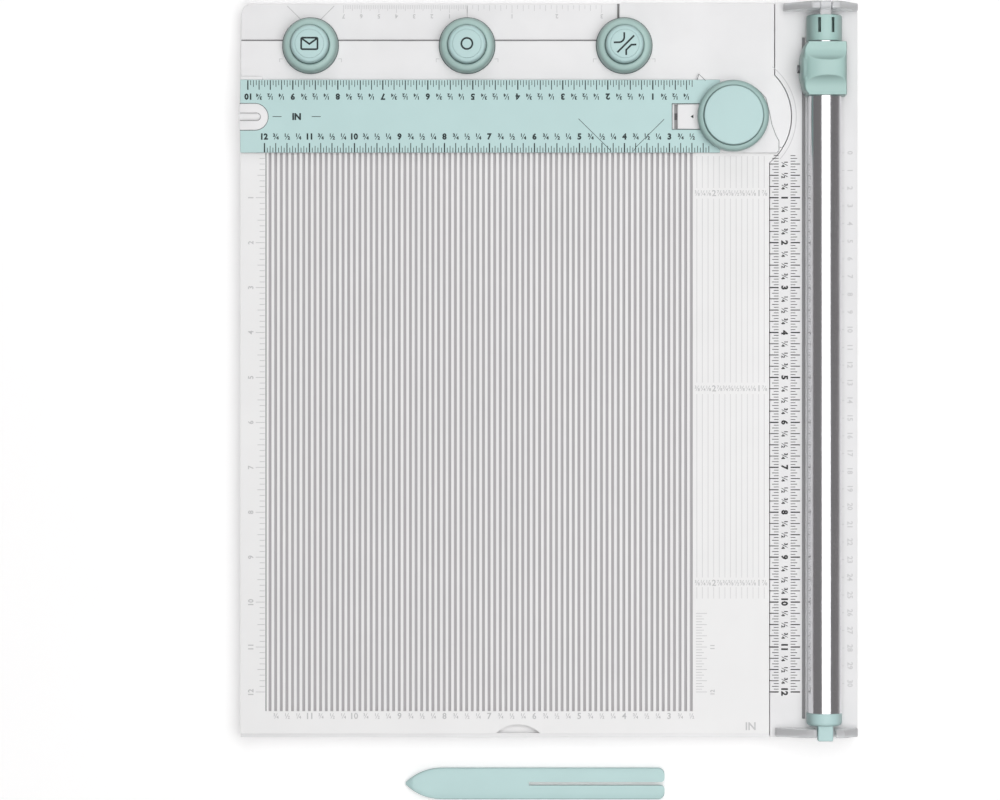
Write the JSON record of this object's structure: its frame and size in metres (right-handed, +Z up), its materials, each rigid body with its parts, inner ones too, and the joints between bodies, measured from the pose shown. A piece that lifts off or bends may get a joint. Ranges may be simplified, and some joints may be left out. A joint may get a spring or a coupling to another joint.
{
  "type": "scoring board",
  "caption": "Paper scoring board with grooved panel, swivelling ruler arm, edge punches, rotary trimmer on a hinged rail, and a separate scoring tool.",
  "frame": {"origin": "on the floor plane under the centre of the board's rectangular outline, on the underside of the centre foot", "axes": "+Z up, +Y towards the rear edge with the punches, +X towards the trimmer"},
  "size_m": [0.3494, 0.4517, 0.0347],
  "materials": {
    "white_plastic": "satin moulded white plastic",
    "panel_plastic": "fine matt white plastic with grey grooves",
    "mint_plastic": "satin pale mint plastic",
    "clear_plastic": "clear polycarbonate",
    "rail_aluminium": "polished drawn aluminium",
    "strip_plastic": "dark grey cutting strip",
    "runner_plastic": "black low-friction plastic",
    "foot_rubber": "dark rubber",
    "screw_steel": "bright steel",
    "spring_steel": "spring steel"
  },
  "bodies": {
    "base": {"base_tray": "white_plastic", "rear_deck": "white_plastic", "paper_table": "white_plastic", "scoring_panel": "panel_plastic", "rubber_feet": "foot_rubber", "case_screws": "screw_steel", "pivot_post": "screw_steel", "pivot_washer": "screw_steel", "pivot_screw": "screw_steel", "punch_collar_1": "mint_plastic", "punch_collar_2": "mint_plastic", "punch_collar_3": "mint_plastic", "punch_die_1": "screw_steel", "punch_die_2": "screw_steel", "punch_die_3": "screw_steel", "punch_spring_1": "spring_steel", "punch_spring_2": "spring_steel", "punch_spring_3": "spring_steel", "trimmer_base": "white_plastic", "trimmer_floor": "white_plastic", "trimmer_screws": "screw_steel", "cutting_strip": "strip_plastic", "rear_bracket": "clear_plastic", "front_bracket_left": "clear_plastic", "front_bracket_right": "clear_plastic", "hinge_pin": "screw_steel"},
    "punch_1": {"punch_button_1": "mint_plastic", "punch_blade_1": "screw_steel"},
    "punch_2": {"punch_button_2": "mint_plastic", "punch_blade_2": "screw_steel"},
    "punch_3": {"punch_button_3": "mint_plastic", "punch_blade_3": "screw_steel"},
    "arm": {"arm_carrier": "white_plastic", "ruler_plate": "mint_plastic", "knob_ring": "mint_plastic", "knob_cap": "mint_plastic", "finger_tab": "white_plastic", "arm_rivets": "white_plastic"},
    "arm_lock": {"lock_slider": "white_plastic"},
    "rail_unit": {"rail": "rail_aluminium", "rail_strip": "clear_plastic", "rear_cap": "mint_plastic", "front_cap": "mint_plastic", "cap_screws": "screw_steel"},
    "carriage": {"carriage_shell": "mint_plastic", "carriage_runner": "runner_plastic", "blade_guard": "mint_plastic", "blade_axle": "mint_plastic"},
    "blade": {"blade_disc": "screw_steel"},
    "tool": {"scoring_tool": "mint_plastic"}
  },
  "joints": [
    {"name": "punch_press_1", "type": "slide", "parent": "base", "child": "punch_1", "axis": [0, 0, -1], "range_m": [0, 0.0045], "stiffness_N_per_m": 800, "springref_m": -0.005, "deforming": ["punch_spring_1"]},
    {"name": "punch_press_2", "type": "slide", "parent": "base", "child": "punch_2", "axis": [0, 0, -1], "range_m": [0, 0.0045], "stiffness_N_per_m": 800, "springref_m": -0.005, "deforming": ["punch_spring_2"]},
    {"name": "punch_press_3", "type": "slide", "parent": "base", "child": "punch_3", "axis": [0, 0, -1], "range_m": [0, 0.0045], "stiffness_N_per_m": 800, "springref_m": -0.005, "deforming": ["punch_spring_3"]},
    {"name": "arm_swivel", "type": "hinge", "parent": "base", "child": "arm", "pos_m": [0.1038, 0.1433, 0.015], "axis": [0, 0, 1], "range_deg": [0, 90]},
    {"name": "arm_latch", "type": "slide", "parent": "arm", "child": "arm_lock", "axis": [-1, 0, 0], "range_m": [0, 0.0017]},
    {"name": "rail_lift", "type": "hinge", "parent": "base", "child": "rail_unit", "pos_m": [0.1551, 0.2047, 0.0278], "axis": [-1, 0, 0], "range_deg": [0, 50]},
    {"name": "carriage_slide", "type": "slide", "parent": "rail_unit", "child": "carriage", "axis": [0, -1, 0], "range_m": [0, 0.345]},
    {"name": "blade_spin", "type": "hinge", "parent": "carriage", "child": "blade", "pos_m": [0.1439, 0.1692, 0.0222], "axis": [1, 0, 0], "continuous": true},
    {"name": "tool_lift", "type": "slide", "parent": "base", "child": "tool", "axis": [0, 0, 1], "range_m": [0, 0.1]}
  ]
}
